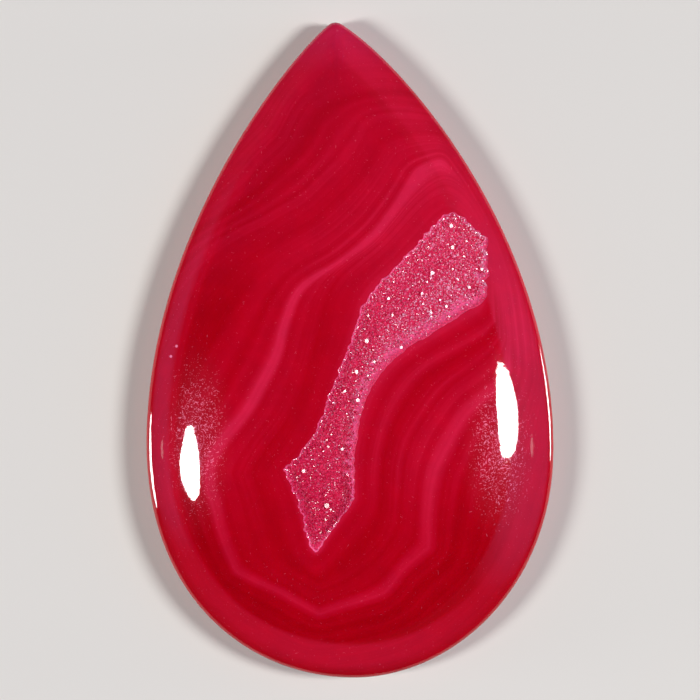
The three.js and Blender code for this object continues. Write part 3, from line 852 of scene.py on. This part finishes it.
# The points that flash, by their radius and read from the photograph, from the tip to the foot. In
# each, one face has outgrown the others and lies half-way between straight up and one of the lamps.
flashing_places = {
    0.22: [(-1.8, -12.1)],
    0.165: [(7.9, 9.7), (8.0, 8.0), (6.4, 6.0), (1.3, 0.7), (0.5, -1.7), (0.6, -3.9), (-3.6, -9.4)],
    0.12: [
        (10.3, 6.3), (9.3, 4.9), (7.5, 3.4), (6.3, 2.9), (5.6, 4.4), (3.0, 4.0), (3.3, 2.7), (1.4, 2.7),
        (4.0, 0.2), (1.9, -0.9), (-0.4, -3.2), (-0.6, -7.7),
    ],
    0.09: [
        (8.2, 9.6), (9.1, 8.5), (8.9, 7.3), (8.0, 6.3), (8.4, 5.5), (5.7, 3.6), (6.0, 5.3), (7.0, 3.9),
        (7.7, 2.6), (5.4, 7.1), (6.1, 8.0), (4.5, 6.8), (3.4, 5.3), (1.4, -2.0), (-1.3, -4.1), (-1.7, -7.5),
        (-1.8, -7.0), (-4.1, -9.9), (-1.9, -11.3), (-1.5, -12.4), (-1.9, -13.2), (-2.3, -14.2),
    ],
}
flashing_points = [(x, y, radius) for radius, spots in flashing_places.items() for x, y in spots]
LAMP_AZIMUTHS = (189, 2)
LAMP_ELEVATION = 47
# The finest of them frost the steep side of the rim and are strewn over the rest.
FROST_COUNT = 160
FROST_RADII = (0.035, 0.06)
FROST_SHARES = (0.02, 0.12)  # of the way from the rim to the line along the floor
STREWN_COUNT = 200
STREWN_RADII = (0.035, 0.055)
STAND_OUT = 0.1  # over the crust, to clear their neighbours
steep = np.flatnonzero(crust_shape(rim_drawn_in(FROST_SHARES[0]))[1] < 0.1)
for _ in range(FROST_COUNT):
    k = steep[int(chance.random() * len(steep))]
    x, y = rim[k] + (rim_floor[k] - rim[k]) * chance.uniform(*FROST_SHARES)
    flashing_points.append((x, y, chance.uniform(*FROST_RADII)))
for _ in range(STREWN_COUNT):
    x, y = places[int(chance.random() * len(places))]
    flashing_points.append((x, y, chance.uniform(*STREWN_RADII)))
for x, y, radius in flashing_points:
    place = np.array([[x, y]])
    ceiling = dome_height(place)[0] - UNDER_THE_DOME
    z = min(crust_face(place)[0] + STAND_OUT + radius * 0.6, ceiling - radius * 0.4)
    scatter = 1.5 if radius > FROST_RADII[1] else 4.0  # in degrees
    facing = math.radians(chance.choice(LAMP_AZIMUTHS) + chance.gauss(0, scatter))
    face_tilt = math.radians((90 - LAMP_ELEVATION) / 2 + chance.gauss(0, scatter))
    bmesh.ops.create_cone(
        crystals, cap_ends=True, cap_tris=False, segments=6,
        radius1=radius * MM, radius2=radius * MM, depth=2 * radius * MM,
        matrix=Matrix.Translation(Vector((x, y, z)) * MM) @ Matrix.Rotation(facing, 4, "Z")
        @ Matrix.Rotation(face_tilt, 4, "Y") @ Matrix.Translation((0, 0, -radius * MM)),
    )
crystal_mesh = bpy.data.meshes.new("quartz_points")
crystals.to_mesh(crystal_mesh)
crystals.free()
quartz_points = bpy.data.objects.new("quartz_points", crystal_mesh)
bpy.context.scene.collection.objects.link(quartz_points)

# How pale each face is painted. Part of it is the faces' own frost, since some are frosted and others let
# the eye in.
# Part of it is painted glints: the palest faces stand in for faces that catch the light. Those that the
# wheel reached, along the rim, are the whitest.
middles = np.empty(len(crystal_mesh.polygons) * 3, np.float32)
crystal_mesh.polygons.foreach_get("center", middles)
middles = middles.reshape(-1, 3).astype(float)[:, :2] / MM
inset, gentle = crust_shape(middles)
WORN_WIDTH = 0.3
worn = 1.2 + 2.0 * (middles[:, 0] > 9.8)  # most of all at the hollow's upper right end
frost_and_glints = np.random.default_rng(3).normal(size=len(middles))
frost_and_glints += worn * np.exp(-inset / WORN_WIDTH) * (1 - gentle)
frost_and_glints += 0.7 * gentle + 0.05 * np.maximum(middles[:, 1], -12) - 0.15
crystal_mesh.attributes.new("frost_and_glints", "FLOAT", "FACE").data.foreach_set(
    "value", (0.5 + frost_and_glints / 7).astype(np.float32)
)

# Quartz, dyed with the agate, as it grew. It is clear, but so finely crowded that it shows as pink sugar
# with glossy faces, and each face is a little paler or deeper than the next. Part of this is its own frost,
# and part is painted glints.
dyed_quartz, tree = new_material("dyed_druse_quartz")
frost_and_glint = add(tree, "ShaderNodeAttribute", attribute_name="frost_and_glints").outputs["Fac"]
sugar = add(tree, "ShaderNodeValToRGB", {"Fac": frost_and_glint})
set_stops(sugar, {
    0.2: linear("#CE0F3E"), 0.36: linear("#DC1C4C"), 0.5: linear("#EC3164"), 0.64: linear("#FF6292"),
    0.8: linear("#FFC0DC"),
})
facets = add(tree, "ShaderNodeBsdfPrincipled", {
    "Base Color": sugar.outputs["Color"],
    "Roughness": 0.12,
    "IOR": 1.544,
    "Specular IOR Level": 0.25,
    "Transmission Weight": 0.1,
    "Subsurface Weight": 0.2,
    "Subsurface Radius": (1.0, 0.25, 0.35),
    "Subsurface Scale": 0.4 * MM,
})
add(tree, "ShaderNodeOutputMaterial", {"Surface": facets.outputs[0]})
crystal_mesh.materials.append(dyed_quartz)

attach(quartz_points, "root")
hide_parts("druzy_crust")


# The table
# A wide sheet of plain white card, cut flat and matt, that the stone lies on.

CARD_REACH = 2000.0  # from its middle to its edges, so that its edges stay out of every view
CARD_GAP = 0.02  # keeps its face from lying in the stone's

bm = bmesh.new()
bmesh.ops.create_grid(bm, x_segments=1, y_segments=1, size=CARD_REACH * MM)
bmesh.ops.translate(bm, verts=bm.verts, vec=(0, 0, -CARD_GAP * MM))
card_mesh = bpy.data.meshes.new("card_table")
bm.to_mesh(card_mesh)
bm.free()
card_table = bpy.data.objects.new("card_table", card_mesh)
bpy.context.scene.collection.objects.link(card_table)
white_card, tree = new_material("matt_white_card")
card = add(tree, "ShaderNodeBsdfPrincipled", {"Base Color": linear("#DAD7D1"), "Roughness": 0.8})
add(tree, "ShaderNodeOutputMaterial", {"Surface": card.outputs[0]})
card_mesh.materials.append(white_card)


# The light
# Two oval lamps stand left and right at about 45 degrees. Beside each a low strip draws the thin line
# along the stone's edge, and a small lamp above the strip adds a faint glimmer. The room is dark overhead
# and pale to the sides, so only the shoulder picks up a veil.

LAMP_DISTANCE = 500.0


def lamp(name, azimuth, elevation, width, height, radiance, roll=0):
    """A lamp aimed at the stone. Its place and its size are angles, in degrees, as seen from there."""
    light = bpy.data.lights.new(name, "AREA")
    light.shape = "ELLIPSE"
    light.size = 2 * LAMP_DISTANCE * MM * math.tan(math.radians(width / 2))
    light.size_y = 2 * LAMP_DISTANCE * MM * math.tan(math.radians(height / 2))
    light.energy = radiance * math.pi * (math.pi * light.size * light.size_y / 4)
    thing = bpy.data.objects.new(name, light)
    a, e = math.radians(azimuth), math.radians(elevation)
    away = Vector((math.cos(a) * math.cos(e), math.sin(a) * math.cos(e), math.sin(e)))
    thing.location = away * LAMP_DISTANCE * MM
    turn = away.to_track_quat("Z", "Y").to_matrix() @ Matrix.Rotation(math.radians(roll), 3, "Z")
    thing.rotation_euler = turn.to_euler()
    bpy.context.scene.collection.objects.link(thing)


lamp("left_lamp", azimuth=189, elevation=45, width=11, height=18, radiance=39)
lamp("right_lamp", azimuth=1.4, elevation=47.5, width=11.4, height=19, radiance=45, roll=7)
lamp("left_strip", azimuth=187, elevation=6, width=17, height=6, radiance=30)
lamp("right_strip", azimuth=3, elevation=3, width=17, height=6, radiance=30)
lamp("left_glimmer", azimuth=184, elevation=22, width=3.2, height=2, radiance=2.4)
lamp("right_glimmer", azimuth=-3, elevation=26, width=3.2, height=2, radiance=2.4)

# The room: a dark ceiling, and two pale walls that fade in from just over the table.
WALL_CORE = 10  # degrees round a wall's middle at full strength
world = bpy.data.worlds.new("studio")
bpy.context.scene.world = world
world.use_nodes = True
tree = world.node_tree
tree.nodes.clear()
direction = add(tree, "ShaderNodeTexCoord").outputs["Generated"]
overhead = Vector((-0.17, 0.05, 1)).normalized()
towards = add(tree, "ShaderNodeVectorMath", {0: direction, 1: tuple(overhead)}, operation="DOT_PRODUCT")
open_sky = add(tree, "ShaderNodeMapRange", {
    "Value": towards.outputs["Value"], "From Min": 0.56, "From Max": 0.61, "To Min": 1.0, "To Max": 0.02,
})
glow = 0.0
for azimuth, elevation, width, strength in ((178, 28, 29, 0.62), (-4, 26, 37, 0.75)):
    a, e = math.radians(azimuth), math.radians(elevation)
    axis = (math.cos(a) * math.cos(e), math.sin(a) * math.cos(e), math.sin(e))
    near = add(tree, "ShaderNodeVectorMath", {0: direction, 1: axis}, operation="DOT_PRODUCT")
    share = add(tree, "ShaderNodeMapRange", {
        "Value": near.outputs["Value"], "From Min": math.cos(math.radians(width)),
        "From Max": math.cos(math.radians(WALL_CORE)), "To Max": strength,
    }, interpolation_type="SMOOTHSTEP")
    glow = add(tree, "ShaderNodeMath", {0: share.outputs[0], 1: glow}, operation="ADD").outputs[0]
height = add(tree, "ShaderNodeSeparateXYZ", {"Vector": direction}).outputs["Z"]
above_table = add(tree, "ShaderNodeMapRange", {
    "Value": height, "From Min": 0.08, "From Max": 0.24,
}, interpolation_type="SMOOTHSTEP")
glow = add(tree, "ShaderNodeMath", {0: glow, 1: above_table.outputs[0]}, operation="MULTIPLY").outputs[0]
room = add(tree, "ShaderNodeMix", {
    "Factor": glow, "A": (0.042, 0.038, 0.05, 1), "B": (0.34, 0.3, 0.9, 1),
}, data_type="RGBA")
sky = add(tree, "ShaderNodeVectorMath", {
    0: room.outputs["Result"], "Scale": open_sky.outputs[0],
}, operation="SCALE")
background = add(tree, "ShaderNodeBackground", {"Color": sky.outputs[0], "Strength": 1.0})
add(tree, "ShaderNodeOutputWorld", {"Surface": background.outputs[0]})
bpy.context.scene.view_settings.view_transform = "Standard"


# The camera
# It looks straight down at the stone, as in the photograph, through a long lens.

FRAME_WIDTH = 54.8  # how much the picture spans at FRAME_HEIGHT
FRAME_HEIGHT = 3.0  # about half-way up the stone
LENS = 150.0
SENSOR = 36.0

camera_data = bpy.data.cameras.new("camera")
camera_data.lens = LENS
camera_data.sensor_width = SENSOR
camera = bpy.data.objects.new("camera", camera_data)
camera.location = (0.0, 0.0, (FRAME_WIDTH * LENS / SENSOR + FRAME_HEIGHT) * MM)
bpy.context.scene.collection.objects.link(camera)
bpy.context.scene.camera = camera
